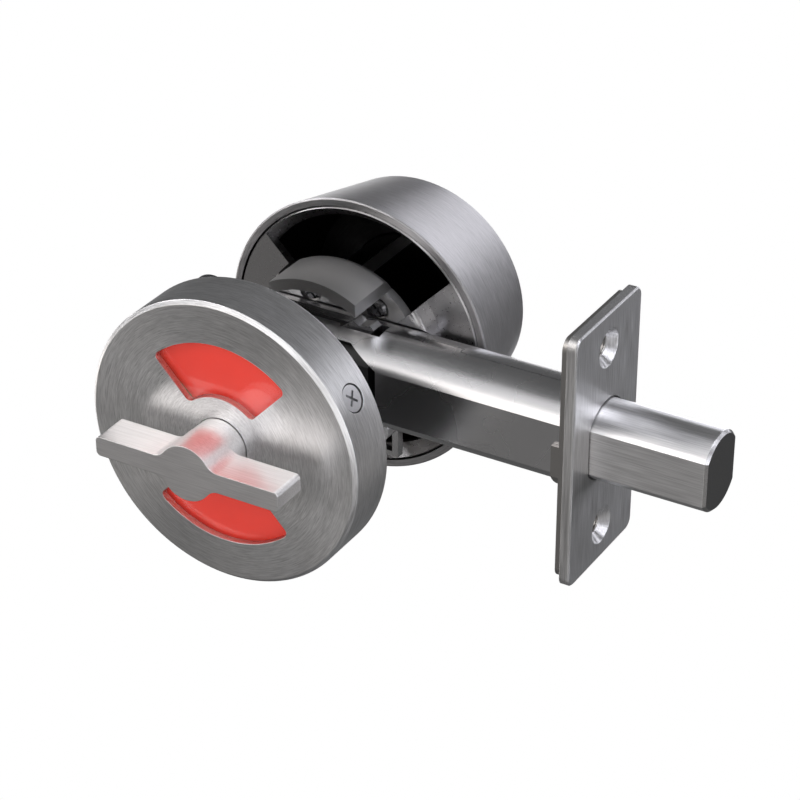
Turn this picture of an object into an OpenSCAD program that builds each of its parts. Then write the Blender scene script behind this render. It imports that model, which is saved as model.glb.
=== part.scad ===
// Indicator deadbolt lock: thumbturn and red or green windows on the inside rose,
// a tubular bolt through the door, and a keyed cylinder in a free-spinning collar outside.
// Frame: X points along the bolt as it is thrown, -Y to the inside of the room, Z up.
// The origin is where the spindle axis crosses the bolt axis. The bolt is drawn thrown.

/* [Throw] */
// Travel of the bolt
throw_len = 25.4; // [24:0.1:27]
// Spindle axis to the front of the faceplate
backset = 65; // [62:0.5:72]

/* [Inside rose] */
// Radius of the rose
rose_r = 31.5; // [31:0.25:36]
// Depth of the rose from its face to the door
rose_depth = 11.9; // [11.5:0.1:14]
// Bolt axis to the door's inside face
inside_gap = 29.3; // [26:0.1:34]
// Thickness of the rose's face
rose_face_t = 1.5; // [1.3:0.1:2.2]
// Thickness of the rose's rim wall
rose_wall = 2.5; // [2:0.1:2.8]
// Chamfer round the rose's face
rose_chamfer = 0.8; // [0.4:0.1:1.2]
// Inner radius of the windows
window_r_in = 10.6; // [9.8:0.1:12]
// Outer radius of the windows
window_r_out = 22.5; // [20:0.1:22.8]
// Half of the angle that a window spans
window_half = 43.6; // [36:0.2:44]
// Corner radius of the windows
window_corner = 1.2; // [0.6:0.1:1.8]
// Direction of the side screw, up from the bolt's direction
side_screw_angle = 30; // [20:1:45]
// Radius of the side screw's head
side_screw_head_r = 2.75; // [2.4:0.05:2.9]

/* [Thumbturn] */
// Length of the thumbturn from tip to tip
turn_len = 43; // [36:0.2:50]
// Depth of the thumbturn's wings
turn_depth = 8.3; // [7:0.1:10]
// Thickness of the thumbturn's wings
turn_wing_t = 4.3; // [3.6:0.1:4.8]
// Radius of the thumbturn's middle
turn_hub_r = 6.1; // [6.1:0.05:6.8]
// Blend radius between middle and wings
turn_blend_r = 3.5; // [2.5:0.1:4.5]
// Radius of the neck that enters the rose
turn_neck_r = 6; // [5.8:0.05:6.1]
// Length of the neck in front of the rose
turn_neck_len = 4.4; // [3:0.1:6]
// Radius of the bearing end behind the neck
turn_journal_r = 4.9; // [4.7:0.05:5.2]
// Side of the square spindle
spindle_w = 5.4; // [5:0.05:5.6]

/* [Bolt and housing] */
// Radius of the bolt's round sides
bolt_r = 8.5; // [8.2:0.05:8.6]
// Half of the bolt's thickness across its flats
bolt_flat = 6.9; // [6.5:0.05:7]
// Length of the solid bolt
bolt_len = 50.4; // [48:0.2:51]
// Bevel on the bolt's end
bolt_bevel = 0.6; // [0.3:0.1:1]
// Outer radius of the housing tube
tube_r = 10.6; // [10.5:0.05:10.9]
// Half of the housing's thickness across its flats
tube_flat = 9; // [8.9:0.05:9.2]
// Wall of the housing tube
tube_wall = 1.5; // [1.3:0.05:1.5]
// Half of the length of the housing's crank openings
opening_half = 16.6; // [16.5:0.1:18]
// Half of the length of the top slot for the crank's nose
slot_half = 14; // [13.6:0.1:15]

/* [Faceplate] */
// Width of the faceplate
plate_w = 28.575; // [25.4:0.025:32]
// Height of the faceplate
plate_h = 57.15; // [56:0.05:64]
// Thickness of the faceplate
plate_t = 2.15; // [1.9:0.05:2.6]
// Corner radius of the faceplate
plate_corner = 2.4; // [1:0.1:4]
// Distance between the faceplate's screw holes
hole_spacing = 41.3; // [38:0.1:43]
// Radius of the faceplate's screw holes
hole_r = 2.4; // [2:0.05:2.6]
// Radius of the countersinks' mouths
sink_r = 4.2; // [3.6:0.05:4.4]

/* [Crank] */
// Thickness of the crank plate
crank_t = 3.2; // [2.8:0.05:3.3]
// Radius of the crank's round bearings
crank_journal_r = 5.2; // [5:0.05:5.3]
// Radius of the nose's tip
nose_r = 16.3; // [15.8:0.05:16.5]
// Radius of the nose's lower step
nose_step_r = 14.1; // [13.4:0.05:14.6]
// Radius of the drive pin
drive_pin_r = 1.2; // [1:0.05:1.3]

/* [Outside trim] */
// Radius of the collar's rim against the door
collar_r = 31.65; // [31.4:0.05:34]
// Radius of the collar's outer face
collar_face_r = 25.9; // [24:0.1:27]
// Depth of the collar
collar_depth = 27.3; // [26.5:0.1:30]
// Bolt axis to the door's outside face
outside_gap = 11.5; // [11.5:0.1:14]
// Outer radius of the guard arch over the crank
arch_r = 21.05; // [20.6:0.05:21.4]
// Thickness of the guard arch
arch_t = 2.5; // [2:0.1:2.7]
// Half of the guard arch's width
arch_half = 10.4; // [9:0.1:11]
// Height of the outer plate's raised disc over its wings
disc_rise = 5.35; // [5:0.05:5.5]
// Radius of the key cylinder's body
cyl_r = 14.3; // [14:0.05:14.6]
// Radius of the key plug
plug_r = 6.35; // [6.2:0.05:6.5]
// Width of the keyway
keyway_w = 2.2; // [1.8:0.1:2.6]

/* [Hidden] */
$fn = 96;
run_gap = 0.08;
fit_gap = 0.05;
loose_gap = 0.3;
cut = 1;

// Planes across the lock, along Y
rose_back_y = -inside_gap;
rose_face_y = rose_back_y - rose_depth;
lens_back_y = rose_face_y + rose_face_t;
lens_flange_t = 0.5;
lens_recess = 0.4;
lens_gap = 0.12;
lens_lip = 1;
disc_front_y = lens_back_y + lens_flange_t + loose_gap;
print_t = 0.4;
disc_t = 0.8;
plate_in_t = 2.6;
plate_in_front_y = rose_back_y - plate_in_t;
plate_in_r = rose_r - rose_wall - 0.2;
turn_back_y = rose_face_y - turn_neck_len;
turn_front_y = turn_back_y - turn_depth;
neck_end_y = plate_in_front_y - 0.2;
washer_t = 0.5;
clip_t = 0.8;
clip_front_y = rose_back_y + washer_t + 2 * fit_gap;
turn_end_y = clip_front_y + clip_t + 0.6;

// Crank and slide planes
crank_front_y = -2.1;
crank_back_y = crank_front_y + crank_t;
crank_end_y = 6.5;
slide_front_y = crank_back_y + 0.4;
ear_t = 2;
bar_t = 3;
drive_r = throw_len / sqrt(2);
drive_offset = drive_r * cos(45);
pin_play = 0.65;
arm_r = 3;
square_gap = 0.05;
socket_w = spindle_w + 2 * square_gap;

// Inside of the housing tube
bore_r = tube_r - tube_wall;
bore_flat = tube_flat - tube_wall;
tube_back_x = -opening_half - 0.9;
bar_top_z = -crank_journal_r - 0.3;
bar_low_z = bar_top_z - 2.2;
carrier_gap = 0.1;
carrier_half = 7.6;
guide_len = 7.4;

// Faceplate stack
plate_front_x = backset;
plate_back_x = plate_front_x - plate_t;
plate_gap = 0.15;
backer_t = 1.4;
backer_inset = 1.1;
backer_front_x = plate_back_x - plate_gap;
backer_back_x = backer_front_x - backer_t;
bolt_end_x = backset + throw_len;
bolt_back_x = bolt_end_x - bolt_len;
passage_gap = 0.35;
clip_len = 3.4;
clip_wall = 0.9;

// Outside trim planes
outside_y = outside_gap;
collar_face_y = outside_y + collar_depth;
floor_front_y = tube_flat + loose_gap;
web_front_y = outside_y - disc_rise;
web_t = 2.45;
web_back_y = web_front_y + web_t;
web_r = arch_r - arch_t;
dome_r = arch_r + 0.35;
dome_draft = 0.25;
dome_round = 1.6;
hub_r = cyl_r + 1.1;
hub_lip = 0.5;
notch_drop = 4.1;
wing_t = 2.2;
ring_r = collar_r - 1.95;
ring_in_r = ring_r - 2.7;
ring_bevel = 0.3;
ring_depth = 4.2;
collar_bore_r = ring_r + loose_gap;
arch_front_y = -6.4;
hood_round = 2.5;
flange_r = 17.2;
flange_t = 2.2;
inner_back_y = collar_face_y - 5.2;
collar_wall = 3.1;
cyl_front_y = collar_face_y + 0.4;
guard_screw_x = 8.2;
guard_screw_z = 11;
guard_head_r = 2;
guard_head_t = 1.7;
guard_sink_r = 2.75;
cyl_screw_x = 10.9;
plug_head_r = plug_r + 0.9;
plug_head_t = 1;
plug_back_y = outside_y + 0.4;

// Tailpiece and the plug's lug
spindle_front_y = rose_face_y + 2;
tail_front_y = crank_end_y + loose_gap;
tail_disc_y = floor_front_y + loose_gap;
tail_back_y = outside_y - 0.1;
spindle_end_y = tail_front_y + 1.9;
lug_angle = 26;
lug_r_in = 4;
lug_r_out = 5.7;
land_half = 30;

// Through screws that clamp the two trims on the door
mount_screw_r = 2;
mount_head_r = 3.5;
mount_head_t = 2.5;
mount_spots = [[-23, 0], [-5, -23.2]];
tab_half = 3.5;
post_front_y = 5;
post_r = 3;
screw_tip_y = 9;

// Lug and nub of the inside plate, and the rose's side screw
side_screw_r = 1.5;
side_screw_sunk = 0.3;
side_screw_len = 6.6;
disc_r = window_r_out + 1.5;
lug_w = 7;
lug_front_y = lens_back_y + lens_flange_t + 0.8;
nub_angle = 118;
nub_r = 5;
nub_len = 5.8;
nub_round = 0.8;
nub_stem_r = 3;
nub_inset = 1;

steel = [0.62, 0.62, 0.63];
dark_steel = [0.3, 0.3, 0.31];
black = [0.08, 0.08, 0.09];
zinc = [0.5, 0.51, 0.54];
red = [0.93, 0.22, 0.17];
green = [0.15, 0.6, 0.25];
brass = [0.75, 0.62, 0.3];

// Helpers: a rod along Y, a flat shape in X and Z with a thickness along Y
module y_rod(r, y0, y1) translate([0, y0, 0]) rotate([-90, 0, 0]) cylinder(r = r, h = y1 - y0);
module y_cone(r0, r1, y0, y1) translate([0, y0, 0]) rotate([-90, 0, 0])
    cylinder(r1 = r0, r2 = r1, h = y1 - y0);
module y_slab(y0, y1) translate([0, y1, 0]) rotate([90, 0, 0]) linear_extrude(y1 - y0) children();
module y_ring(r_in, r_out, y0, y1) difference() {
    y_rod(r_out, y0, y1);
    y_rod(r_in, y0 - cut, y1 + cut);
}
module square_rod(w, y0, y1) translate([-w / 2, y0, -w / 2]) cube([w, y1 - y0, w]);
module x_rod(r, x0, x1) translate([x0, 0, 0]) rotate([0, 90, 0]) cylinder(r = r, h = x1 - x0);

// A turned shape round the Y axis from points given as radius and Y
module y_turned(points) rotate([-90, 0, 0]) rotate_extrude() polygon(points);

// A pie slice from one angle to another, wide enough to cut a circle of radius r
module wedge(r, a0, a1) polygon(concat([[0, 0]],
    [for (i = [0:8]) let (a = a0 + (a1 - a0) * i / 8) 2 * r * [cos(a), sin(a)]]));
module sector(r0, r1, a0, a1) intersection() {
    difference() {
        circle(r1);
        circle(r0);
    }
    wedge(r1, a0, a1);
}

// A window outline with round corners, grown by a margin
module window_shape(grow) {
    ri = window_r_in - grow;
    ro = window_r_out + grow;
    c = window_corner + grow;
    half = window_half + asin(grow / window_r_out);
    in_step = asin(c / (ri + c));
    out_step = asin(c / (ro - c));
    sector(ri + c, ro - c, 90 - half, 90 + half);
    sector(ri, ri + c, 90 - half + in_step, 90 + half - in_step);
    sector(ro - c, ro, 90 - half + out_step, 90 + half - out_step);
    for (s = [-1, 1]) {
        rotate(90 + s * (half - in_step)) translate([ri + c, 0]) circle(c, $fn = 32);
        rotate(90 + s * (half - out_step)) translate([ro - c, 0]) circle(c, $fn = 32);
    }
}

// A bar along X with round sides and two flats
module flat_bar(r, f, x0, x1) intersection() {
    x_rod(r, x0, x1);
    translate([x0 - cut, -f, -2 * r]) cube([x1 - x0 + 2 * cut, 2 * f, 4 * r]);
}

module cross_recess(r, depth) for (a = [45, 135]) rotate([0, 0, a])
    translate([-r, -r * 0.16, -depth]) cube([2 * r, r * 0.32, depth + cut]);

// Inside trim

module inside_rose() color(steel) difference() {
    y_turned([[turn_neck_r + 0.15, rose_face_y], [rose_r - rose_chamfer, rose_face_y],
              [rose_r, rose_face_y + rose_chamfer], [rose_r, rose_back_y], [rose_r - rose_wall, rose_back_y],
              [rose_r - rose_wall, lens_back_y], [turn_neck_r + 0.15, lens_back_y]]);
    for (turn = [0, 180]) rotate([0, turn, 0]) y_slab(rose_face_y - cut, lens_back_y + cut) window_shape(0);
    side_screw_place() cylinder(r = side_screw_head_r + loose_gap, h = 10, center = true);
    nub_place() y_rod(nub_r + loose_gap, rose_back_y - 1, rose_back_y + cut);
}
module nub_place() rotate([0, -nub_angle, 0]) translate([rose_r - nub_inset - nub_r, 0, 0]) children();

module side_screw_place() rotate([0, -side_screw_angle, 0])
    translate([rose_r, (rose_face_y + rose_back_y) / 2 + 0.2, 0]) rotate([0, 90, 0]) children();
module mount_places() for (p = mount_spots) translate([p[0], 0, p[1]]) children();

module lens() color([0.95, 0.95, 0.95, 0.4]) {
    y_slab(rose_face_y + lens_recess, lens_back_y) window_shape(-lens_gap);
    y_slab(lens_back_y, lens_back_y + lens_flange_t) window_shape(lens_lip);
}
module lens_upper() lens();
module lens_lower() rotate([0, 180, 0]) lens();

// Plate screwed to the door: it carries the thumbturn, a lug for the rose's side screw and a nub behind
module inside_plate() color(black) difference() {
    union() {
        y_rod(plate_in_r, plate_in_front_y, rose_back_y);
        rotate([0, -side_screw_angle, 0]) translate([disc_r + 0.6, lug_front_y, -lug_w / 2])
            cube([plate_in_r - 0.6 - disc_r - 0.6, plate_in_front_y - lug_front_y + 0.5, lug_w]);
        nub_place() {
            y_rod(nub_stem_r, rose_back_y - 1, rose_back_y + 1);
            y_rod(nub_r, rose_back_y + fit_gap, rose_back_y + nub_len - nub_round);
            y_cone(nub_r, nub_r - nub_round, rose_back_y + nub_len - nub_round, rose_back_y + nub_len);
        }
    }
    y_rod(turn_journal_r + run_gap, plate_in_front_y - cut, rose_back_y + cut);
    mount_places() y_rod(mount_screw_r + 0.15, plate_in_front_y - cut, rose_back_y + cut);
    side_screw_place() translate([0, 0, -side_screw_len])
        cylinder(r = side_screw_r + fit_gap, h = side_screw_len - 1.9);
}

module rose_screw() color(steel) side_screw_place() difference() {
    union() {
        translate([0, 0, -2]) cylinder(r = side_screw_head_r, h = 2 - side_screw_sunk);
        translate([0, 0, -side_screw_len + 0.3]) cylinder(r = side_screw_r, h = side_screw_len - 2);
    }
    translate([0, 0, -side_screw_sunk]) cross_recess(1.7, 1);
}

module mounting_screws() color(zinc) mount_places() difference() {
    union() {
        y_rod(mount_screw_r, plate_in_front_y - 0.5, screw_tip_y);
        y_rod(mount_head_r, plate_in_front_y - mount_head_t, plate_in_front_y);
    }
    translate([0, plate_in_front_y - mount_head_t, 0]) rotate([90, 0, 0]) cross_recess(2.2, 1.3);
}

module turn_shape() {
    wing = turn_wing_t / 2;
    tip_r = 1;
    tip_x = turn_len / 2 - tip_r;
    tip_z = wing - tip_r;
    circle(turn_hub_r);
    square(2 * [tip_x, wing], center = true);
    square(2 * [tip_x + tip_r, tip_z], center = true);
    for (sx = [-1, 1], sz = [-1, 1])
        translate([sx * tip_x, sz * tip_z]) circle(tip_r, $fn = 24);
    reach = turn_hub_r + turn_blend_r;
    blend_dip = 0.02;
    blend_z = wing + turn_blend_r - blend_dip;
    blend_x = sqrt(reach * reach - blend_z * blend_z);
    for (sx = [-1, 1], sz = [-1, 1]) scale([sx, sz]) difference() {
        polygon([[0, 0], [blend_x, 0], [blend_x, blend_z], turn_hub_r / reach * [blend_x, blend_z]]);
        translate([blend_x, blend_z]) circle(turn_blend_r);
    }
}

module thumbturn() color(steel) difference() {
    union() {
        y_slab(turn_front_y, turn_back_y) turn_shape();
        y_rod(turn_neck_r, turn_back_y - 1, neck_end_y);
        y_rod(turn_journal_r, neck_end_y - 1, turn_end_y);
    }
    y_ring(turn_journal_r - 0.6, turn_journal_r + cut, clip_front_y, clip_front_y + clip_t);
    square_rod(socket_w, spindle_front_y - 1, turn_end_y + cut);
}

module turn_clip() color(dark_steel) y_slab(clip_front_y + fit_gap, clip_front_y + clip_t - fit_gap)
    sector(turn_journal_r - 0.55, turn_journal_r + 2.4, -55, 235);

module wave_washer() color(dark_steel)
    y_ring(turn_journal_r + 0.2, turn_journal_r + 3, rose_back_y + fit_gap, rose_back_y + fit_gap + washer_t);

module indicator_disc() color([0.85, 0.85, 0.85])
    y_ring(turn_neck_r + fit_gap, disc_r, disc_front_y + print_t, disc_front_y + print_t + disc_t);
module indicator_print(a, half) y_slab(disc_front_y, disc_front_y + print_t)
    for (turn = [0, 180]) sector(turn_neck_r + 0.3, disc_r, a + turn - half, a + turn + half);
module indicator_red() color(red) indicator_print(90, 46.4);
module indicator_green() color(green) indicator_print(0, 43.4);

// Drive through the door

module spindle() color(zinc) square_rod(spindle_w, spindle_front_y, spindle_end_y);

// Nose above the bolt, stepped at its tip, and the arm below that drives the slide
module crank_shape() {
    at = function(r, a) r * [cos(a), sin(a)];
    circle(crank_journal_r + 1.2);
    polygon([[-1, 6], [2, 7.5], at(11.5, 61), at(nose_step_r, 57.8), at(nose_step_r, 51.7),
             at(nose_r, 45.9), at(nose_r + 0.1, 41.5), at(6.4, 20), [0, 0]]);
    rotate(-45) translate([0, -arm_r]) square([drive_r, 2 * arm_r]);
    rotate(-45) translate([drive_r, 0]) circle(arm_r);
}

module crank() color(dark_steel) difference() {
    union() {
        y_slab(crank_front_y, crank_back_y) crank_shape();
        y_rod(crank_journal_r, -bore_flat + 0.4, crank_end_y);
    }
    square_rod(socket_w, -20, 20);
    drive_pin_place() y_rod(drive_pin_r + fit_gap, crank_front_y - cut, crank_back_y + cut);
}
module drive_pin_place() rotate([0, 45, 0]) translate([drive_r, 0, 0]) children();

module drive_pin() color(steel) drive_pin_place()
    y_rod(drive_pin_r, crank_front_y, slide_front_y + ear_t + 0.4);

// Lost motion: the plug's lug runs freely in the tailpiece's curved slot, on either side of its land
module tailpiece() color(zinc) difference() {
    union() {
        y_rod(5, tail_front_y, tail_disc_y + 0.2);
        y_rod(7, tail_disc_y, tail_back_y);
    }
    square_rod(socket_w, tail_front_y - cut, spindle_end_y + 0.2);
    y_slab(tail_disc_y + 0.6, tail_back_y + cut)
        sector(lug_r_in - loose_gap, lug_r_out + loose_gap, land_half - 45, 315 - land_half);
}

// Bolt and its slide

module bolt() color(steel) difference() {
    intersection() {
        rotate([0, 90, 0]) rotate_extrude() polygon([[0, bolt_back_x], [bolt_r, bolt_back_x],
            [bolt_r, bolt_end_x - bolt_bevel], [bolt_r - bolt_bevel, bolt_end_x], [0, bolt_end_x]]);
        translate([0, 0, -2 * bolt_r]) linear_extrude(4 * bolt_r)
            polygon([[bolt_back_x - cut, -bolt_flat], [bolt_end_x - bolt_bevel, -bolt_flat],
                     [bolt_end_x, -bolt_flat + bolt_bevel], [bolt_end_x, bolt_flat - bolt_bevel],
                     [bolt_end_x - bolt_bevel, bolt_flat], [bolt_back_x - cut, bolt_flat]]);
    }
    x_rod(insert_r + fit_gap, bolt_back_x - cut, bolt_back_x + insert_len + loose_gap);
    translate([bolt_back_x - cut, slide_front_y - fit_gap, -2 * bolt_r])
        cube([notch_len + cut, bar_t + 2 * fit_gap, 2 * bolt_r + bar_top_z + fit_gap]);
    for (x = rivet_x) translate([x, 0, 0]) rivet_hole();
}
insert_len = 42;
insert_r = 3;
notch_len = 12;
rivet_x = [bolt_back_x + 3, bolt_back_x + 9];
rivet_r = 0.8;
rivet_y = slide_front_y + bar_t / 2;
module rivet_hole() translate([0, rivet_y, -bolt_r])
    cylinder(r = rivet_r + fit_gap, h = bolt_r - 2.4, $fn = 24);

module bolt_insert() color([0.45, 0.45, 0.47]) x_rod(insert_r, bolt_back_x, bolt_back_x + insert_len);

ear_half = drive_pin_r + pin_play + 1.4;
module bolt_slide() color(dark_steel) difference() {
    union() {
        translate([drive_offset - ear_half, slide_front_y, bar_low_z])
            cube([bolt_back_x + notch_len - 0.4 - drive_offset + ear_half, bar_t, bar_top_z - bar_low_z]);
        translate([drive_offset - ear_half, slide_front_y, -drive_r - drive_pin_r - 1.4])
            cube([2 * ear_half, ear_t, drive_r + drive_pin_r + 1.4 + bar_top_z]);
    }
    slot_top = -drive_offset + drive_pin_r + 0.2;
    slot_low = -drive_r - drive_pin_r - 0.2;
    translate([drive_offset - drive_pin_r - pin_play, slide_front_y - cut, slot_low])
        cube([2 * (drive_pin_r + pin_play), ear_t + 2 * cut, slot_top - slot_low]);
    for (x = rivet_x) translate([x, 0, 0]) rivet_hole();
}

module slide_rivets() color(steel) for (x = rivet_x)
    translate([x, rivet_y, bar_low_z]) cylinder(r = rivet_r, h = bar_top_z - bar_low_z + 2, $fn = 24);

// Housing tube, rolled from sheet: seam along the top, openings for crank and carriers

seam_y = -0.45;
seam_w = 0.25;
seam_deep = 0.4;
jog_x = [24, 31.9];
jog_y = 1.65;
module seam_cut(x0, x1, y) translate([x0, y - seam_w / 2, tube_r - seam_deep]) cube([x1 - x0, seam_w, 2]);
module side_opening() polygon([[-8.9, 8.9], [8.9, 8.9], [opening_half, 5.7], [opening_half, -5.7],
    [8.9, -8.9], [-8.9, -8.9], [-opening_half, -5.7], [-opening_half, 5.7]]);

module bolt_housing() color(zinc) difference() {
    flat_bar(tube_r, tube_flat, tube_back_x, backer_front_x);
    flat_bar(bore_r, bore_flat, tube_back_x - cut, backer_front_x + cut);
    for (side = [-1, 1]) y_slab(min(0, side * 20), max(0, side * 20)) intersection() {
        side_opening();
        square([60, 60], center = true);
    }
    translate([4, crank_front_y - 0.65, 0]) cube([slot_half - 4, crank_t + 1.25, 20]);
    translate([-slot_half, crank_front_y + 0.2, 0]) cube([slot_half + 4.1, crank_t + 0.4, 20]);
    bottom_half = drive_offset + ear_half + 0.4;
    translate([-bottom_half, crank_front_y - 0.65, -20]) cube([2 * bottom_half, 6.3, 20]);
    seam_cut(slot_half - 0.5, jog_x[0], seam_y);
    seam_cut(jog_x[0], jog_x[1], seam_y + jog_y);
    seam_cut(jog_x[1], backer_front_x + cut, seam_y);
    for (x = jog_x) translate([x - seam_w / 2, seam_y - seam_w / 2, tube_r - seam_deep])
        cube([seam_w, jog_y + seam_w, 2]);
}

// Carriers inside the housing that hold the crank's round bearings
module carrier(y0, y1) difference() {
    intersection() {
        flat_bar(bore_r - carrier_gap, bore_flat - carrier_gap, -opening_half + 0.6, slot_half);
        translate([-2 * opening_half, y0, -carrier_half]) cube([4 * opening_half, y1 - y0, 2 * carrier_half]);
    }
    y_rod(crank_journal_r + run_gap, y0 - cut, y1 + cut);
}
module carrier_near() color(black) carrier(-bore_flat, crank_front_y - 0.4);
module carrier_far() color(black) carrier(slide_front_y + bar_t + 0.4, bore_flat);

module bolt_guide() color(zinc) difference() {
    flat_bar(bore_r - fit_gap, bore_flat - fit_gap, backer_front_x - guide_len, backer_front_x);
    flat_bar(bolt_r + run_gap, bolt_flat + run_gap, backer_front_x - guide_len - cut, backer_front_x + cut);
}

module plate_shape(w, h, r) {
    square([w - 2 * r, h], center = true);
    square([w, h - 2 * r], center = true);
    for (sy = [-1, 1], sz = [-1, 1]) translate([sy * (w / 2 - r), sz * (h / 2 - r)]) circle(r, $fn = 32);
}
module x_slab(x0, x1) translate([x0, 0, 0]) rotate([90, 0, 90]) linear_extrude(x1 - x0) children();
plate_bevel = 0.35;

module faceplate() color(steel) difference() {
    hull() {
        x_slab(plate_back_x, plate_front_x - plate_bevel) plate_shape(plate_w, plate_h, plate_corner);
        x_slab(plate_back_x, plate_front_x)
            plate_shape(plate_w - 2 * plate_bevel, plate_h - 2 * plate_bevel, plate_corner - plate_bevel);
    }
    flat_bar(bolt_r + passage_gap, bolt_flat + passage_gap, plate_back_x - cut, plate_front_x + cut);
    for (s = [-1, 1]) translate([0, 0, s * hole_spacing / 2]) {
        x_rod(hole_r, plate_back_x - cut, plate_front_x + cut);
        translate([plate_front_x - (sink_r - hole_r), 0, 0]) rotate([0, 90, 0])
            cylinder(r1 = hole_r, r2 = sink_r + cut, h = sink_r - hole_r + cut);
    }
}

module face_backer() color(dark_steel) difference() {
    x_slab(backer_back_x, backer_front_x)
        plate_shape(plate_w - 2 * backer_inset, plate_h - 2 * backer_inset, plate_corner);
    flat_bar(tube_r + clip_wall + 0.1, tube_flat + clip_wall + 0.1,
             backer_back_x - cut, backer_front_x + cut);
    for (s = [-1, 1]) translate([0, 0, s * hole_spacing / 2])
        x_rod(hole_r, backer_back_x - cut, backer_front_x + cut);
}

module plate_clip() color(dark_steel) difference() {
    flat_bar(tube_r + clip_wall, tube_flat + clip_wall, backer_back_x - clip_len, backer_front_x);
    flat_bar(tube_r + fit_gap, tube_flat + fit_gap, backer_back_x - clip_len - cut, backer_front_x + cut);
    translate([0, -20, 1.2]) cube([100, 40, 20]);
}

// Outside trim

// Room for the housing tube, cut from what sits round it
module tube_room() flat_bar(tube_r + 0.4, tube_flat + loose_gap, -60, 60);

module guard_spots() for (sx = [-1, 1]) translate([sx * guard_screw_x, 0, guard_screw_z]) children();

// The opening above and below the raised disc, between two slanting edges
module notch_shape(drop) translate([0, -drop]) wedge(40, 45, 135);

// Arch over the crank: its back slopes down to the web that is screwed on the outer plate
module crank_guard() color([0.42, 0.42, 0.42]) difference() {
    union() {
        intersection() {
            y_turned(concat([[web_r, arch_front_y], [arch_r, arch_front_y]], hood_back,
                            [[web_r, web_back_y]]));
            translate([-arch_half, arch_front_y - cut, 0]) cube([2 * arch_half, 40, 40]);
        }
        y_slab(web_front_y, web_back_y) intersection() {
            circle(web_r + 0.05);
            notch_shape(notch_drop - 0.1);
            translate([-30, 5]) square([60, 30]);
        }
    }
    tube_room();
    guard_spots() {
        y_rod(1.25, web_front_y - cut, web_back_y + cut);
        y_rod(guard_sink_r, web_front_y - cut, web_front_y + guard_head_t);
    }
}
hood_arc_y = web_back_y - arch_t - hood_round * tan(22.5);
hood_back = [for (a = [0:7.5:45])
    [arch_r - hood_round + hood_round * cos(a), hood_arc_y + hood_round * sin(a)]];

module guard_screws() color(zinc) guard_spots() difference() {
    union() {
        y_rod(1.2, web_front_y + guard_head_t - 0.5, outside_y - 0.6);
        y_turned([[0, web_front_y - 0.1], [guard_head_r - 0.5, web_front_y - 0.1],
                  [guard_head_r, web_front_y + 0.5], [guard_head_r, web_front_y + guard_head_t],
                  [0, web_front_y + guard_head_t]]);
    }
    translate([0, web_front_y - 0.1, 0]) rotate([90, 0, 0]) cross_recess(1.5, 1);
}

// Cast plate in the collar: a raised disc round the hub, two wings, a beveled outer ring and the screw posts
module outer_plate() color(dark_steel) difference() {
    union() {
        difference() {
            y_turned(concat([[0, web_front_y], [dome_edge_r, web_front_y]], dome_arc,
                            [[dome_r, outside_y], [dome_r, outside_y + 1], [hub_r - hub_lip, outside_y + 1],
                             [hub_r - hub_lip, outside_y], [0, outside_y]]));
            for (turn = [0, 180]) {
                y_slab(web_front_y - cut, outside_y + 2) difference() {
                    rotate(turn) notch_shape(notch_drop);
                    circle(web_r);
                }
                y_slab(web_back_y, outside_y + 2) difference() {
                    rotate(turn) notch_shape(notch_drop);
                    circle(hub_r);
                }
            }
            y_slab(web_front_y - cut, web_back_y) notch_shape(notch_drop);
        }
        y_slab(outside_y, outside_y + wing_t) difference() {
            circle(ring_r - ring_bevel);
            circle(hub_r - 0.2);
            for (turn = [0, 180]) rotate(turn) notch_shape(notch_drop);
        }
        y_turned([[ring_r - ring_bevel, outside_y], [ring_r, outside_y + ring_bevel],
                  [ring_r, outside_y + ring_depth], [ring_in_r, outside_y + ring_depth],
                  [ring_in_r, outside_y + 2.7]]);
        translate([mount_spots[1][0], 0, 0]) y_slab(outside_y, outside_y + wing_t)
            translate([-tab_half, -ring_in_r - 0.4]) square([2 * tab_half, ring_in_r - hub_r + 1]);
        mount_places() y_rod(post_r, post_front_y, outside_y + wing_t);
    }
    tube_room();
    y_rod(7.3, floor_front_y - cut, outside_y + cut);
    guard_spots() y_rod(1.25, web_back_y - cut, outside_y - 0.4);
    mount_places() y_rod(mount_screw_r + fit_gap, post_front_y - cut, outside_y + wing_t + cut);
    cyl_screw_spots() cyl_screw_shape(0.15);
}
dome_edge_r = dome_r - dome_draft - dome_round;
dome_arc = [for (a = [15:15:90])
    [dome_edge_r + dome_round * sin(a), web_front_y + dome_round * (1 - cos(a))]];

module cyl_screw_spots() for (sx = [-1, 1]) translate([sx * cyl_screw_x, 0, 0]) children();
module cyl_screw_shape(grow) {
    y_cone(3 + grow, 1.5 + grow, floor_front_y, floor_front_y + 1.5);
    y_rod(1.5 + grow, floor_front_y, outside_y + 6);
}
module cylinder_screws() color(zinc) cyl_screw_spots() difference() {
    cyl_screw_shape(0);
    translate([0, floor_front_y, 0]) rotate([90, 0, 0]) cross_recess(1.6, 0.9);
}

clip_room_y = outside_y + 2.1;
pin_pitch = 4;
pin_first_y = clip_room_y + 4;
pin_r = 1.4;
pin_gap = 0.1;
pin_spots = [for (i = [0:4]) pin_first_y + i * pin_pitch];
driver_len = 3;
spring_len = 3.4;
module pin_row(r, z0, z1) for (y = pin_spots) translate([0, y, z0]) cylinder(r = r, h = z1 - z0, $fn = 32);

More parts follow.
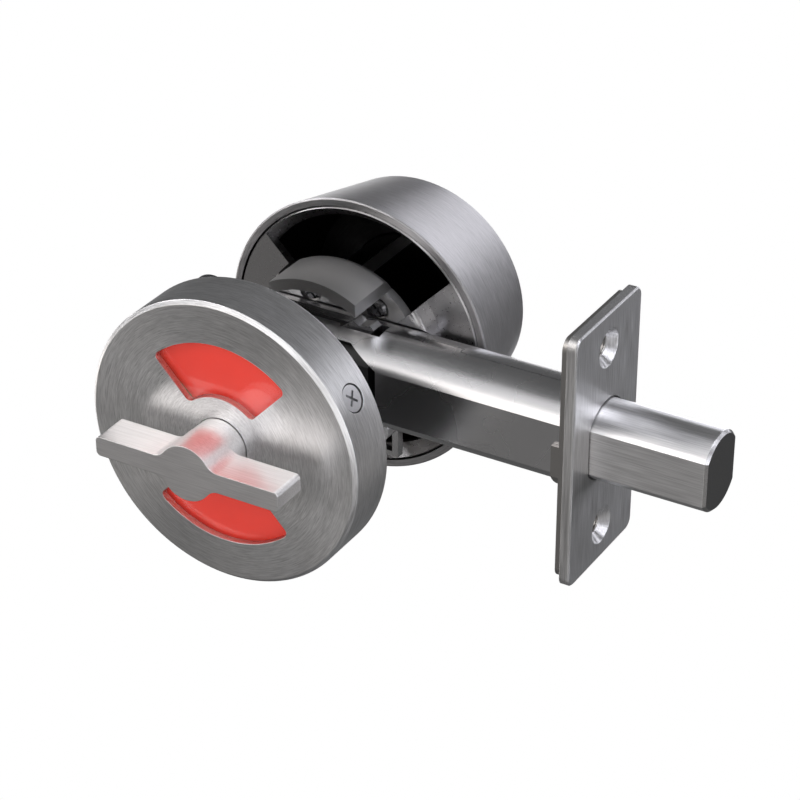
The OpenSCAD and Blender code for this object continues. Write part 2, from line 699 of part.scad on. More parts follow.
module cylinder_body() color(steel) difference() {
    union() {
        y_rod(cyl_r, outside_y, collar_face_y - flange_t);
        y_turned([[0, collar_face_y - flange_t - 0.2], [flange_r, collar_face_y - flange_t - 0.2],
                  [flange_r, cyl_front_y - 0.4], [flange_r - 0.4, cyl_front_y], [0, cyl_front_y]]);
    }
    y_rod(plug_r + fit_gap, outside_y - cut, cyl_front_y + cut);
    y_rod(plug_head_r + fit_gap, cyl_front_y - plug_head_t - fit_gap, cyl_front_y + cut);
    y_rod(plug_r + 2.4, outside_y - cut, clip_room_y);
    pin_row(pin_r + pin_gap, 3, cyl_r + cut);
    translate([-2, pin_spots[0] - 3, cyl_r - 1.3]) cube([4, 5 * pin_pitch + 2, 4]);
    cyl_screw_spots() y_rod(1.6, outside_y - cut, outside_y + 6.3);
}

module driver_pins() color(brass) pin_row(pin_r, plug_r + 0.05, plug_r + driver_len);
module pin_springs() color(steel) difference() {
    pin_row(pin_r, plug_r + driver_len + 0.1, plug_r + driver_len + spring_len);
    pin_row(pin_r - 0.4, plug_r + driver_len - cut, plug_r + driver_len + spring_len + cut);
}
module pin_cover() color(steel) translate([-1.9, pin_spots[0] - 2.9, cyl_r - 1.25])
    cube([3.8, 5 * pin_pitch + 1.8, 0.9]);

module key_plug() color(steel) difference() {
    union() {
        y_rod(plug_r, plug_back_y, cyl_front_y);
        y_rod(plug_head_r, cyl_front_y - plug_head_t, cyl_front_y + 0.3);
        y_slab(tail_disc_y + 0.8, plug_back_y + 0.5)
            sector(lug_r_in, lug_r_out, 90 - lug_angle / 2, 90 + lug_angle / 2);
    }
    y_ring(plug_r - 0.7, plug_r + cut, outside_y + 0.7, outside_y + 1.5);
    translate([-keyway_w / 2, plug_back_y + 1.8, -4.6]) cube([keyway_w, 40, 8.2]);
    pin_row(pin_r + pin_gap, 0, plug_r + cut);
}
module plug_clip() color(dark_steel) y_slab(outside_y + 0.75, outside_y + 1.45)
    sector(plug_r - 0.65, plug_r + 1.6, -60, 240);
module key_pins() color(brass) intersection() {
    pin_row(pin_r, 1.2, plug_r + 1);
    y_rod(plug_r, 0, 60);
}

module outer_collar() color(steel) {
    y_turned([[collar_bore_r, outside_y], [collar_r - 0.3, outside_y], [collar_r, outside_y + 0.3],
              [collar_face_r + 0.1, collar_face_y - 0.6], [collar_face_r - 0.6, collar_face_y],
              [flange_r + loose_gap, collar_face_y], [flange_r + loose_gap, collar_face_y - flange_t - 0.5],
              [cyl_r + loose_gap, collar_face_y - flange_t - 0.5], [cyl_r + loose_gap, inner_back_y],
              [collar_face_r - collar_wall, inner_back_y],
              [ring_in_r + 0.2, outside_y + ring_depth + loose_gap],
              [collar_bore_r, outside_y + ring_depth + loose_gap]]);
}

inside_rose();
lens_upper();
lens_lower();
inside_plate();
rose_screw();
mounting_screws();
thumbturn();
turn_clip();
wave_washer();
indicator_disc();
indicator_red();
indicator_green();
spindle();
crank();
drive_pin();
tailpiece();
bolt();
bolt_insert();
bolt_slide();
slide_rivets();
bolt_housing();
carrier_near();
carrier_far();
bolt_guide();
face_backer();
faceplate();
plate_clip();
crank_guard();
guard_screws();
outer_plate();
cylinder_screws();
cylinder_body();
driver_pins();
pin_springs();
pin_cover();
key_plug();
plug_clip();
key_pins();
outer_collar();
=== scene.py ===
"""Dresses an indicator deadbolt lock in satin steel, zinc plate, castings, enamel and clear windows.

Every measure is in metres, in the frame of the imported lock: X along the bolt, -Y to the inside of the
room, Z up, with the origin where the spindle crosses the bolt.
"""

import math

import bpy
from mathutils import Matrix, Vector

bl_info = {
    "name": "Indicator Deadbolt",
    "version": (1, 0, 0),
    "blender": (4, 5, 0),
    "location": "View3D > Sidebar > Deadbolt",
    "description": "Finishes an indicator deadbolt lock and sets it in a pale studio",
    "category": "Object",
}

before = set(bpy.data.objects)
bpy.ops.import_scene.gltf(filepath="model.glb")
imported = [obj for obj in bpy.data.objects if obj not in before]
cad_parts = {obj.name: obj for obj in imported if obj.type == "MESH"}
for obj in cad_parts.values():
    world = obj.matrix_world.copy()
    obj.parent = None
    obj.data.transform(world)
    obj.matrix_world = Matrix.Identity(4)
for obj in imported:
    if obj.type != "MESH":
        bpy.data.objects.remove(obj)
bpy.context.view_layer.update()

# The collar's cone near the door and near its outer face: place along Y, then outside radius
CONE_MOUTH = (0.0118, 0.03165)
CONE_END = (0.0382, 0.0260)
# How far under the cone's surface a wall must lie to count as the collar's inner wall, which gets painted
# shade
INSIDE_DEPTH = 0.0012
# Reach along Y of the painted shade on the collar's inner walls
COLLAR_SHADE_FROM = 0.0121
COLLAR_SHADE_TO = 0.037
# Along Y, where the painted shade on the cylinder's body ends and its brushed front begins
BODY_SHADE_TO = 0.0368
# How much of its colour a surface under painted shade keeps
PAINTED_SHADE_KEEPS = 0.10
# The band that most values of a noise fall in
NOISE_LOW = 0.3
NOISE_HIGH = 0.7
# Rounding of the steel's edges, and height of its streaks
EDGE_WEAR = 0.0002
STREAK_HEIGHT = 0.0001
# How dense the streaks lie across their direction, on the rose and on the other steel
ROSE_STREAKS = 5500.0
STEEL_STREAKS = 3600.0
# How often a streak changes along its direction
ROUND_CHANGES = 9.0
FLAT_CHANGES = 110.0
BOLT_CHANGES = 90.0
# How fine the grain of the castings and of the plastic is
CASTING_GRAIN = 1400.0
PLASTIC_GRAIN = 1500.0
# Keeps the stretched gloss from pointing straight out of a face
OFF_AXIS = (0.11, 0.08, 0.09)
FLOOR_HALF = 3.0
WHITE = (1.0, 1.0, 1.0, 1.0)

# Tints of the lamps
WARM = (1.0, 0.95, 0.91)
PLAIN = (1.0, 0.99, 1.0)
COOL = (0.94, 0.94, 1.0)
# Soft boxes: name, direction from the lock, power in watts and tint
LAMPS = (
    ("key", (-0.43, -0.72, 0.55), 2.6, WARM),
    ("front_high", (0.15, -0.8, 0.6), 3.1, PLAIN),
    ("overhead", (-0.3, -0.45, 0.85), 1.1, PLAIN),
    ("front", (-0.1, -1.0, 0.05), 0.9, WARM),
    ("left", (-0.9, -0.45, 0.05), 2.6, WARM),
    ("front_right", (0.75, -0.65, 0.1), 2.1, PLAIN),
    ("right", (1.0, 0.0, 0.1), 4.9, COOL),
    ("back", (0.0, 1.0, 0.1), 2.2, COOL),
    ("back_right", (0.64, 0.75, 0.12), 2.3, COOL),
    ("top_left", (-0.8, 0.0, 0.6), 7.0, PLAIN),
    ("top_right", (0.6, 0.2, 0.8), 5.6, COOL),
    ("low_left", (-0.85, 0.1, -0.45), 3.0, WARM),
    ("low_back", (-0.4, 0.8, -0.3), 1.7, PLAIN),
    ("low_front", (0.3, -0.8, -0.5), 0.7, WARM),
    ("low_key", (-0.43, -0.75, -0.5), 0.12, WARM),
    ("low_right", (0.85, -0.3, -0.45), 0.3, WARM),
)


class DeadboltCamera(bpy.types.PropertyGroup):
    """Where the camera stands and how long its lens is"""

    place: bpy.props.FloatVectorProperty(
        name="Place", description="Where the camera stands", subtype="XYZ", unit="LENGTH",
        default=(0.265026, -0.423650, 0.280139))
    azimuth: bpy.props.FloatProperty(
        name="Azimuth", description="Turn of the camera to the right of straight on", subtype="ANGLE",
        default=math.radians(30.313))
    elevation: bpy.props.FloatProperty(
        name="Elevation", description="Height of the camera above the level", subtype="ANGLE",
        default=math.radians(30.174))
    lens: bpy.props.FloatProperty(
        name="Lens", description="Focal length on a 36 mm sensor, in millimetres", default=122.02)


class DeadboltStudio(bpy.types.PropertyGroup):
    """Light and floor of the studio"""

    floor_drop: bpy.props.FloatProperty(
        name="Floor drop", description="How far the floor lies under the bolt's axis", unit="LENGTH",
        default=0.8)
    fill: bpy.props.FloatProperty(
        name="Fill", description="Strength of the light from all round", default=0.3)
    mirrored: bpy.props.FloatProperty(
        name="Mirrored", description="How bright the metal sees the white backdrop", default=0.12)
    lamp_distance: bpy.props.FloatProperty(
        name="Lamp distance", description="Distance of the soft boxes from the lock", unit="LENGTH",
        default=1.2)
    lamp_width: bpy.props.FloatProperty(
        name="Lamp width", description="Side of each soft box", unit="LENGTH", default=0.6)


class DeadboltFinish(bpy.types.PropertyGroup):
    """Colours and roughness of the lock's finishes"""

    steel: bpy.props.FloatVectorProperty(
        name="Satin steel", description="Colour of the rose's brushed steel", subtype="COLOR",
        default=(0.73, 0.73, 0.735))
    turn_steel: bpy.props.FloatVectorProperty(
        name="Turn", description="Colour of the thumbturn's steel", subtype="COLOR",
        default=(0.88, 0.87, 0.875))
    bolt_steel: bpy.props.FloatVectorProperty(
        name="Bolt", description="Colour of the bolt's steel", subtype="COLOR", default=(0.84, 0.84, 0.85))
    plate_steel: bpy.props.FloatVectorProperty(
        name="Faceplate", description="Colour of the faceplate's steel", subtype="COLOR",
        default=(0.58, 0.58, 0.585))
    collar_steel: bpy.props.FloatVectorProperty(
        name="Collar", description="Colour of the outer collar's steel", subtype="COLOR",
        default=(0.42, 0.415, 0.425))
    steel_roughness: bpy.props.FloatProperty(
        name="Steel roughness", description="Roughness of the brushed steel", default=0.34)
    turn_roughness: bpy.props.FloatProperty(
        name="Turn roughness", description="Roughness of the thumbturn's finer brushing", default=0.42)
    zinc: bpy.props.FloatVectorProperty(
        name="Zinc", description="Colour of the plated housing", subtype="COLOR",
        default=(0.57, 0.57, 0.58))
    casting: bpy.props.FloatVectorProperty(
        name="Casting", description="Colour of the outer plate's dark casting", subtype="COLOR",
        default=(0.42, 0.415, 0.42))
    guard: bpy.props.FloatVectorProperty(
        name="Guard", description="Colour of the crank guard's casting", subtype="COLOR",
        default=(0.60, 0.60, 0.60))
    # The crank's colour is partly its own bright steel and partly painted light: set lighter than the zinc
    # to stand in for the sky it reflects while in shade
    crank: bpy.props.FloatVectorProperty(
        name="Crank", description="Colour of the crank", subtype="COLOR", default=(0.85, 0.85, 0.87))
    backing: bpy.props.FloatVectorProperty(
        name="Backing", description="Colour of the plate behind the faceplate and of its clip",
        subtype="COLOR", default=(0.42, 0.41, 0.40))
    oxide: bpy.props.FloatVectorProperty(
        name="Oxide", description="Colour of the dark steel parts", subtype="COLOR",
        default=(0.22, 0.22, 0.23))
    plastic: bpy.props.FloatVectorProperty(
        name="Plastic", description="Colour of the black plastic", subtype="COLOR",
        default=(0.012, 0.012, 0.013))
    locked_red: bpy.props.FloatVectorProperty(
        name="Red", description="Colour that the windows show when the bolt is thrown", subtype="COLOR",
        default=(0.92, 0.05, 0.03))
    open_green: bpy.props.FloatVectorProperty(
        name="Green", description="Colour that the windows show when the bolt is back", subtype="COLOR",
        default=(0.02, 0.32, 0.06))


class Recipe:
    """A material under construction: adds nodes, sets their sockets and links them."""

    def __init__(self, name):
        self.material = bpy.data.materials.new(name)
        self.material.use_nodes = True
        self.tree = self.material.node_tree
        self.surface = self.tree.nodes["Principled BSDF"]
        self.output = self.tree.nodes["Material Output"]

    def add(self, kind, _inputs=None, **settings):
        """Adds a node, with its settings as keywords and its sockets in a dict of values or sockets."""
        made = self.tree.nodes.new(kind)
        for key, value in settings.items():
            setattr(made, key, value)
        for key, value in (_inputs or {}).items():
            self.feed(made.inputs[key], value)
        return made

    def feed(self, socket, value):
        """Links a socket to another one, or sets it to a plain value."""
        if isinstance(value, bpy.types.NodeSocket):
            self.tree.links.new(value, socket)
        else:
            socket.default_value = value

    def paint(self, **values):
        """Sets or links the main shader's sockets: base_color stands for Base Color."""
        for key, value in values.items():
            self.feed(self.surface.inputs[key.replace("_", " ").title()], value)
        return self.material

    def maths(self, operation, first, second):
        """The result of a sum on two values."""
        return self.add("ShaderNodeMath", {0: first, 1: second}, operation=operation).outputs[0]

    def vector_maths(self, operation, first, second=(0.0, 0.0, 0.0)):
        """The result of a sum on one or two vectors."""
        return self.add("ShaderNodeVectorMath", {0: first, 1: second}, operation=operation).outputs[0]

    def noise(self, coordinate, scale=1.0, detail=2.0, rough=0.5):
        """A noise round 0.5. A larger scale makes it finer."""
        return self.add("ShaderNodeTexNoise", {"Vector": coordinate, "Scale": scale, "Detail": detail,
                                               "Roughness": rough}).outputs["Fac"]

    def remap(self, value, low, high, to_low, to_high):
        """Carries the range from low to high over to another one."""
        return self.add("ShaderNodeMapRange", {"Value": value, "From Min": low, "From Max": high,
                                               "To Min": to_low, "To Max": to_high}).outputs["Result"]

    def spread(self, noise, to_low, to_high):
        """Stretches the band that most values of a noise fall in to a new one."""
        return self.remap(noise, NOISE_LOW, NOISE_HIGH, to_low, to_high)

    def tone(self, colour, value):
        """A colour made lighter or darker by a factor round 1."""
        made = self.add("ShaderNodeVectorMath", {0: tuple(colour), "Scale": value}, operation="SCALE")
        return made.outputs[0]

    def bump(self, height, strength, distance, edge=0.0):
        """A bumped normal. With edge, in metres, sharp edges are worn round by that radius."""
        made = self.add("ShaderNodeBump", {"Height": height, "Strength": strength, "Distance": distance})
        if edge:
            worn = self.add("ShaderNodeBevel", {"Radius": edge}, samples=6)
            self.feed(made.inputs["Normal"], worn.outputs["Normal"])
        return made.outputs["Normal"]


def object_place(recipe):
    """A point's place in the lock's frame."""
    return recipe.add("ShaderNodeTexCoord").outputs["Object"]


def to_world(recipe, direction):
    """A direction of the piece, turned with the piece."""
    turned = recipe.add("ShaderNodeVectorTransform", {"Vector": direction}, vector_type="VECTOR",
                        convert_from="OBJECT", convert_to="WORLD").outputs[0]
    return recipe.vector_maths("NORMALIZE", turned)


def split_place(recipe):
    """The node that gives a point's X, Y and Z."""
    return recipe.add("ShaderNodeSeparateXYZ", {"Vector": object_place(recipe)})


def round_place(recipe):
    """A point's height along Y, its place flat on the XZ plane and its distance from the Y axis."""
    split = split_place(recipe)
    flat = recipe.add("ShaderNodeCombineXYZ", {"X": split.outputs["X"], "Z": split.outputs["Z"]}).outputs[0]
    radius = recipe.add("ShaderNodeVectorMath", {0: flat}, operation="LENGTH").outputs["Value"]
    return split.outputs["Y"], flat, radius


def round_brushing(recipe, across, along):
    """Streaks that run round the Y axis, and the direction that they run in."""
    height, flat, radius = round_place(recipe)
    heading = recipe.vector_maths("NORMALIZE", flat)
    turn = recipe.add("ShaderNodeSeparateXYZ", {"Vector": heading})
    coordinate = recipe.add("ShaderNodeCombineXYZ", {
        "X": recipe.maths("MULTIPLY", radius, across),
        "Y": recipe.maths("MULTIPLY", height, across),
        "Z": recipe.maths("MULTIPLY", turn.outputs["X"], along)}).outputs[0]
    streaks = recipe.add("ShaderNodeTexNoise", {
        "Vector": coordinate, "W": recipe.maths("MULTIPLY", turn.outputs["Z"], along), "Scale": 1.0,
        "Detail": 3.0, "Roughness": 0.6}, noise_dimensions="4D").outputs["Fac"]
    tangent = to_world(recipe, recipe.vector_maths("CROSS_PRODUCT", flat, (0.0, 1.0, 0.0)))
    return streaks, tangent


def straight_streaks(recipe, axis, across, along):
    """Fine streaks along one axis of the lock."""
    scale = Vector((across,) * 3)
    scale["XYZ".index(axis)] = along
    coordinate = recipe.vector_maths("MULTIPLY", object_place(recipe), tuple(scale))
    return recipe.noise(coordinate, detail=3.0, rough=0.6)


def straight_brushing(recipe, axis, across, along):
    """Streaks along one axis of the lock, and the direction that they run in.

    The direction is tilted a little, because gloss can't be stretched along a face's own normal.
    """
    ahead = Vector(OFF_AXIS)
    ahead["XYZ".index(axis)] = 1.0
    return straight_streaks(recipe, axis, across, along), to_world(recipe, tuple(ahead))


def brushed_steel(name, colour, roughness, streaks_of, anisotropy=0.8, contrast=0.22, shade=None):
    """Satin steel whose streaks and stretched gloss follow the direction of its brushing.

    shade gives, from 0 to 1, where painted shade darkens the steel: in the collar's hollow, on the
    cylinder's body inside it and on the bolt's end.
    """
    recipe = Recipe(name)
    streaks, tangent = streaks_of(recipe)
    cloud = recipe.noise(object_place(recipe), scale=45.0)
    level = recipe.spread(streaks, 1.0 - contrast, 1.0 + contrast)
    # painted shade: the colour is darkened where the shade mask reaches 1
    if shade:
        level = recipe.maths("MULTIPLY", level, recipe.remap(shade(recipe), 0.0, 1.0, 1.0, PAINTED_SHADE_KEEPS))
    return recipe.paint(
        base_color=recipe.tone(colour, level),
        metallic=1.0,
        roughness=recipe.maths("ADD", recipe.spread(streaks, roughness - 0.05, roughness + 0.05),
                               recipe.spread(cloud, -0.02, 0.02)),
        anisotropic=anisotropy,
        tangent=tangent,
        normal=recipe.bump(streaks, 0.1, STREAK_HEIGHT, edge=EDGE_WEAR))


def collar_painted_shade(recipe):
    """1 on the collar's walls that face its hollow, where painted shade darkens them, 0 on its outside and
    its front edge.
    """
    height, _, radius = round_place(recipe)
    outside = recipe.remap(height, CONE_MOUTH[0], CONE_END[0], CONE_MOUTH[1], CONE_END[1])
    deep = recipe.maths("GREATER_THAN", recipe.maths("SUBTRACT", outside, radius), INSIDE_DEPTH)
    between = recipe.maths("MULTIPLY", recipe.maths("GREATER_THAN", height, COLLAR_SHADE_FROM),
                           recipe.maths("LESS_THAN", height, COLLAR_SHADE_TO))
    return recipe.maths("MULTIPLY", deep, between)


def body_painted_shade(recipe):
    """1 behind the cylinder's brushed front, where painted shade darkens the body inside the collar, 0 on
    it.
    """
    return recipe.maths("LESS_THAN", split_place(recipe).outputs["Y"], BODY_SHADE_TO)


def end_painted_shade(recipe):
    """How far a face looks along the bolt, which sets the painted shade on the bolt's end face and its
    chamfer.
    """
    normal = recipe.add("ShaderNodeTexCoord").outputs["Normal"]
    split = recipe.add("ShaderNodeSeparateXYZ", {"Vector": normal})
    return recipe.remap(split.outputs["X"], 0.4, 0.97, 0.0, 0.75)


def plated_steel(name, colour, roughness):
    """Zinc plate: smooth, a little cloudy, with the faintest marks of the rolling."""
    recipe = Recipe(name)
    place = object_place(recipe)
    cloud = recipe.noise(place, scale=70.0)
    rolled = straight_streaks(recipe, "X", 2200.0, 60.0)
    both = recipe.maths("ADD", recipe.maths("MULTIPLY", cloud, 0.5), recipe.maths("MULTIPLY", rolled, 0.5))
    level = recipe.remap(both, 0.35, 0.65, 0.975, 1.025)
    return recipe.paint(
        base_color=recipe.tone(colour, level), metallic=1.0,
        roughness=recipe.spread(cloud, roughness - 0.01, roughness + 0.01))


def coated_casting(name, colour, roughness):
    """A casting under a thin satin coat, whose gloss varies with a fine even grain."""
    recipe = Recipe(name)
    place = object_place(recipe)
    pits = recipe.noise(place, scale=CASTING_GRAIN, detail=3.0, rough=0.6)
    cloud = recipe.noise(place, scale=60.0)
    return recipe.paint(
        base_color=recipe.tone(colour, recipe.spread(cloud, 0.96, 1.04)), metallic=1.0,
        roughness=recipe.spread(pits, roughness - 0.01, roughness + 0.01))


def moulded_plastic(name, colour, roughness):
    """Moulded plastic with a fine spark-eroded texture."""
    recipe = Recipe(name)
    pits = recipe.noise(object_place(recipe), scale=PLASTIC_GRAIN)
    return recipe.paint(
        base_color=recipe.tone(colour, recipe.spread(pits, 0.85, 1.15)), metallic=0.0,
        roughness=recipe.spread(pits, roughness - 0.05, roughness + 0.05),
        normal=recipe.bump(pits, 0.1, 0.00005))


def enamel(name, colour):
    """Smooth printed enamel with the faintest unevenness in its colour, and a faint glow in that colour that
    is painted light.
    """
    recipe = Recipe(name)
    cloud = recipe.noise(object_place(recipe), scale=90.0)
    return recipe.paint(
        base_color=recipe.tone(colour, recipe.spread(cloud, 0.96, 1.04)),
        # painted light: the enamel glows faintly in its own colour, though it is no lamp
        emission_color=(*colour, 1.0), emission_strength=0.2,
        roughness=0.35, metallic=0.0)


def clear_window(name):
    """Clear acrylic: see-through, with a gloss that grows at a slant."""
    recipe = Recipe(name)
    recipe.tree.nodes.remove(recipe.surface)
    cloud = recipe.noise(object_place(recipe), scale=120.0)
    slant = recipe.add("ShaderNodeLayerWeight", {"Blend": 0.5}).outputs["Facing"]
    dim = recipe.remap(recipe.maths("POWER", slant, 3.0), 0.0, 1.0, 0.97, 0.2)
    clear = recipe.add("ShaderNodeBsdfTransparent", {"Color": dim})
    gloss = recipe.add("ShaderNodeBsdfGlossy", {
        "Color": WHITE, "Roughness": recipe.spread(cloud, 0.03, 0.06)})
    share = recipe.remap(recipe.maths("POWER", slant, 5.0), 0.0, 1.0, 0.04, 0.4)
    mixed = recipe.add("ShaderNodeMixShader", {0: share, 1: clear.outputs[0], 2: gloss.outputs[0]})
    recipe.feed(recipe.output.inputs["Surface"], mixed.outputs[0])
    return recipe.material


def dress(node, material):
    """Gives a CAD node its material."""
    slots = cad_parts[node].data.materials
    if len(slots) == 0:
        slots.append(material)
    for index in range(len(slots)):
        slots[index] = material


def finish_of(context):
    """The colours and roughness that the panel shows."""
    return context.scene.deadbolt_finish


class DressOperator:
    """What every dressing operator shares: it runs once and can be undone."""

    bl_options = {"REGISTER", "UNDO"}


class DEADBOLT_OT_inside_rose(DressOperator, bpy.types.Operator):
    """Brush the inside rose and its side screw"""

    bl_idname = "deadbolt.inside_rose"
    bl_label = "Inside rose"

    def execute(self, context):
        look = finish_of(context)
        brushed = brushed_steel("rose_steel", look.steel, look.steel_roughness,
                                lambda r: round_brushing(r, ROSE_STREAKS, ROUND_CHANGES))
        dress("inside_rose", brushed)
        dress("rose_screw", plated_steel("screw_steel", look.zinc, 0.3))
        return {"FINISHED"}


class DEADBOLT_OT_windows(DressOperator, bpy.types.Operator):
    """Fill the rose's windows with clear covers over the red and green fields"""

    bl_idname = "deadbolt.windows"
    bl_label = "Windows"

    def execute(self, context):
        look = finish_of(context)
        clear = clear_window("clear_acrylic")
        dress("lens_upper", clear)
        dress("lens_lower", clear)
        dress("indicator_red", enamel("locked_red", look.locked_red))
        dress("indicator_green", enamel("open_green", look.open_green))
        dress("indicator_disc", moulded_plastic("disc_plastic", (0.7, 0.7, 0.7), 0.5))
        return {"FINISHED"}


class DEADBOLT_OT_thumbturn(DressOperator, bpy.types.Operator):
    """Brush the thumbturn along its wings"""

    bl_idname = "deadbolt.thumbturn"
    bl_label = "Thumbturn"

    def execute(self, context):
        look = finish_of(context)
        dress("thumbturn", brushed_steel("turn_steel", look.turn_steel, look.turn_roughness,
                                         lambda r: straight_brushing(r, "X", STEEL_STREAKS, FLAT_CHANGES),
                                         anisotropy=0.5, contrast=0.1))
        return {"FINISHED"}


class DEADBOLT_OT_housing(DressOperator, bpy.types.Operator):
    """Plate the housing tube and finish what it carries"""

    bl_idname = "deadbolt.housing"
    bl_label = "Housing"

    def execute(self, context):
        look = finish_of(context)
        plated = plated_steel("zinc_plate", look.zinc, 0.27)
        for node in ("bolt_housing", "bolt_guide"):
            dress(node, plated)
        dark = moulded_plastic("black_plastic", look.plastic, 0.5)
        for node in ("carrier_near", "carrier_far", "inside_plate"):
            dress(node, dark)
        return {"FINISHED"}


class DEADBOLT_OT_faceplate(DressOperator, bpy.types.Operator):
    """Brush the faceplate and darken its backing plate and clip"""

    bl_idname = "deadbolt.faceplate"
    bl_label = "Faceplate"

    def execute(self, context):
        look = finish_of(context)
        dress("faceplate", brushed_steel("plate_steel", look.plate_steel, look.steel_roughness,
                                         lambda r: straight_brushing(r, "Z", STEEL_STREAKS, FLAT_CHANGES)))
        dark = plated_steel("backing_steel", look.backing, 0.35)
        dress("face_backer", dark)
        dress("plate_clip", dark)
        return {"FINISHED"}


class DEADBOLT_OT_bolt(DressOperator, bpy.types.Operator):
    """Brush the bolt along its length"""

    bl_idname = "deadbolt.bolt"
    bl_label = "Bolt"

    def execute(self, context):
        look = finish_of(context)
        # painted shade darkens the faces of the bolt that look along it, at its end
        dress("bolt", brushed_steel("bolt_steel", look.bolt_steel, look.steel_roughness,
                                    lambda r: straight_brushing(r, "X", STEEL_STREAKS, BOLT_CHANGES),
                                    contrast=0.16, shade=end_painted_shade))
        dress("bolt_insert", plated_steel("hard_steel", look.oxide, 0.3))
        return {"FINISHED"}


class DEADBOLT_OT_drive(DressOperator, bpy.types.Operator):
    """Finish the spindle, the crank, the slide and the tailpiece"""

    bl_idname = "deadbolt.drive"
    bl_label = "Drive"

    def execute(self, context):
        look = finish_of(context)
        plated = plated_steel("drive_zinc", look.zinc, 0.25)
        for node in ("spindle", "drive_pin", "tailpiece", "bolt_slide", "slide_rivets", "wave_washer"):
            dress(node, plated)
        dress("turn_clip", plated_steel("oxide_steel", look.oxide, 0.3))
        # partly painted light: the crank's colour is lighter than the zinc to stand in for the reflection it
        # shows in shade
        dress("crank", plated_steel("crank_steel", look.crank, 0.25))
        return {"FINISHED"}


class DEADBOLT_OT_outside_plate(DressOperator, bpy.types.Operator):
    """Coat the outer plate and the crank guard, and plate their screws"""

    bl_idname = "deadbolt.outside_plate"
    bl_label = "Outside plate"

    def execute(self, context):
        look = finish_of(context)
        dress("outer_plate", coated_casting("plate_casting", look.casting, 0.28))
        dress("crank_guard", coated_casting("guard_casting", look.guard, 0.34))
        black = plated_steel("black_screws", look.oxide, 0.25)
        for node in ("guard_screws", "cylinder_screws", "mounting_screws"):
            dress(node, black)
        return {"FINISHED"}


class DEADBOLT_OT_collar(DressOperator, bpy.types.Operator):
    """Brush the outer collar round its axis"""

    bl_idname = "deadbolt.collar"
    bl_label = "Outer collar"

    def execute(self, context):
        look = finish_of(context)
        # painted shade darkens the collar's inner walls in its hollow
        dress("outer_collar", brushed_steel("collar_steel", look.collar_steel, look.steel_roughness,
                                            lambda r: round_brushing(r, STEEL_STREAKS, ROUND_CHANGES),
                                            shade=collar_painted_shade))
        return {"FINISHED"}


class DEADBOLT_OT_cylinder(DressOperator, bpy.types.Operator):
    """Finish the key cylinder, its plug and its pins"""

    bl_idname = "deadbolt.cylinder"
    bl_label = "Key cylinder"

    def execute(self, context):
        look = finish_of(context)
        # painted shade darkens the cylinder's body behind its front, inside the collar
        brushed = brushed_steel("cylinder_steel", look.steel, look.steel_roughness,
                                lambda r: round_brushing(r, STEEL_STREAKS, ROUND_CHANGES),
                                shade=body_painted_shade)
        for node in ("cylinder_body", "key_plug"):
            dress(node, brushed)
        yellow = plated_steel("pin_brass", (0.75, 0.55, 0.25), 0.25)
        for node in ("key_pins", "driver_pins"):
            dress(node, yellow)
        grey = plated_steel("spring_steel", look.zinc, 0.3)
        for node in ("pin_springs", "pin_cover", "plug_clip"):
            dress(node, grey)
        return {"FINISHED"}


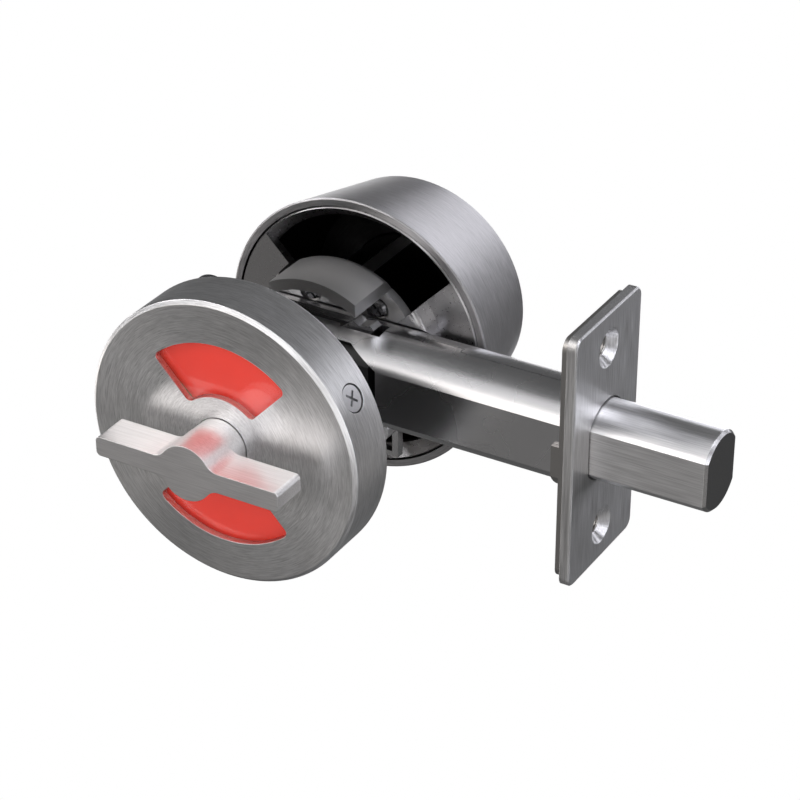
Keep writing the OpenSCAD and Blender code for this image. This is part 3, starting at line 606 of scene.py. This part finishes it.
class DEADBOLT_OT_stage(DressOperator, bpy.types.Operator):
    """Set the camera, the pale floor and the soft lights"""

    bl_idname = "deadbolt.stage"
    bl_label = "Stage"

    def execute(self, context):
        scene = context.scene
        scene.view_settings.view_transform = "Standard"
        self.camera(scene)
        self.surroundings(scene)
        self.floor(scene)
        self.lamps(scene)
        return {"FINISHED"}

    def camera(self, scene):
        """A camera where the settings place it."""
        shot = scene.deadbolt_camera
        data = bpy.data.cameras.new("camera")
        data.lens = shot.lens
        data.sensor_width = 36.0
        data.clip_start = 0.01
        data.clip_end = 50.0
        camera = bpy.data.objects.new("camera", data)
        camera.location = shot.place
        camera.rotation_euler = (math.pi / 2 - shot.elevation, 0.0, shot.azimuth)
        scene.collection.objects.link(camera)
        scene.camera = camera

    def surroundings(self, scene):
        """White backdrop to the camera and the windows, dimmed in the metal, and a soft fill elsewhere."""
        world = bpy.data.worlds.new("studio")
        scene.world = world
        world.use_nodes = True
        tree = world.node_tree
        studio = scene.deadbolt_studio
        backdrop = tree.nodes["Background"]
        backdrop.inputs["Color"].default_value = WHITE
        fill = tree.nodes.new("ShaderNodeBackground")
        fill.inputs["Color"].default_value = WHITE
        fill.inputs["Strength"].default_value = studio.fill
        seen, brightness = seen_rays(tree, studio.mirrored)
        tree.links.new(brightness, backdrop.inputs["Strength"])
        mix = tree.nodes.new("ShaderNodeMixShader")
        tree.links.new(seen, mix.inputs[0])
        tree.links.new(fill.outputs[0], mix.inputs[1])
        tree.links.new(backdrop.outputs[0], mix.inputs[2])
        tree.links.new(mix.outputs[0], tree.nodes["World Output"].inputs["Surface"])

    def floor(self, scene):
        """A pale floor that stays white to the camera."""
        studio = scene.deadbolt_studio
        mesh = bpy.data.meshes.new("floor")
        corners = [(x * FLOOR_HALF, y * FLOOR_HALF, -studio.floor_drop)
                   for x, y in ((-1, -1), (1, -1), (1, 1), (-1, 1))]
        mesh.from_pydata(corners, [], [(0, 1, 2, 3)])
        floor = bpy.data.objects.new("floor", mesh)
        scene.collection.objects.link(floor)
        recipe = Recipe("pale_floor")
        recipe.paint(base_color=(0.9, 0.9, 0.9, 1.0), roughness=0.9)
        seen, brightness = seen_rays(recipe.tree, studio.mirrored)
        white = recipe.add("ShaderNodeEmission", {"Color": WHITE, "Strength": brightness})
        mix = recipe.add("ShaderNodeMixShader", {0: seen, 1: recipe.surface.outputs[0], 2: white.outputs[0]})
        recipe.feed(recipe.output.inputs["Surface"], mix.outputs[0])
        mesh.materials.append(recipe.material)

    def lamps(self, scene):
        """Soft boxes round the lock: name, direction, power in watts and tint."""
        studio = scene.deadbolt_studio
        for name, direction, power, tint in LAMPS:
            data = bpy.data.lights.new(name, "AREA")
            data.shape = "SQUARE"
            data.size = studio.lamp_width
            data.energy = power
            data.color = tint
            lamp = bpy.data.objects.new(name, data)
            lamp.location = Vector(direction).normalized() * studio.lamp_distance
            lamp.rotation_euler = lamp.location.to_track_quat("Z", "Y").to_euler()
            scene.collection.objects.link(lamp)


def seen_rays(tree, mirrored):
    """1 on rays that look straight at a surface or by a mirror or window, and how bright they see white."""
    path = tree.nodes.new("ShaderNodeLightPath")

    def maths(operation, first, second):
        made = tree.nodes.new("ShaderNodeMath")
        made.operation = operation
        for socket, value in zip(made.inputs, (first, second)):
            if isinstance(value, float):
                socket.default_value = value
            else:
                tree.links.new(value, socket)
        return made.outputs[0]

    direct = maths("MAXIMUM", path.outputs["Is Camera Ray"], path.outputs["Is Transmission Ray"])
    seen = maths("MAXIMUM", direct, path.outputs["Is Glossy Ray"])
    return seen, maths("MAXIMUM", direct, mirrored)


OPERATORS = (
    DEADBOLT_OT_inside_rose, DEADBOLT_OT_windows, DEADBOLT_OT_thumbturn, DEADBOLT_OT_housing,
    DEADBOLT_OT_faceplate, DEADBOLT_OT_bolt, DEADBOLT_OT_drive, DEADBOLT_OT_outside_plate,
    DEADBOLT_OT_collar, DEADBOLT_OT_cylinder, DEADBOLT_OT_stage)


class DEADBOLT_PT_panel(bpy.types.Panel):
    """Lists the lock's finishes and the studio"""

    bl_label = "Indicator deadbolt"
    bl_idname = "DEADBOLT_PT_panel"
    bl_space_type = "VIEW_3D"
    bl_region_type = "UI"
    bl_category = "Deadbolt"

    def draw(self, context):
        layout = self.layout
        for group in (context.scene.deadbolt_finish, context.scene.deadbolt_studio,
                      context.scene.deadbolt_camera):
            box = layout.box()
            for name in group.__annotations__:
                box.prop(group, name)
        for operator in OPERATORS:
            layout.operator(operator.bl_idname)


GROUPS = (
    ("deadbolt_camera", DeadboltCamera),
    ("deadbolt_studio", DeadboltStudio),
    ("deadbolt_finish", DeadboltFinish))


def register():
    """Adds the settings, the operators and the panel."""
    for name, group in GROUPS:
        bpy.utils.register_class(group)
        setattr(bpy.types.Scene, name, bpy.props.PointerProperty(type=group))
    for made in (*OPERATORS, DEADBOLT_PT_panel):
        bpy.utils.register_class(made)


def unregister():
    """Takes away what register added."""
    for made in reversed((*OPERATORS, DEADBOLT_PT_panel)):
        bpy.utils.unregister_class(made)
    for name, group in reversed(GROUPS):
        delattr(bpy.types.Scene, name)
        bpy.utils.unregister_class(group)


def main():
    """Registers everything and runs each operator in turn."""
    register()
    for operator in OPERATORS:
        group, _, name = operator.bl_idname.partition(".")
        getattr(getattr(bpy.ops, group), name)()


if __name__ == "__main__":
    main()
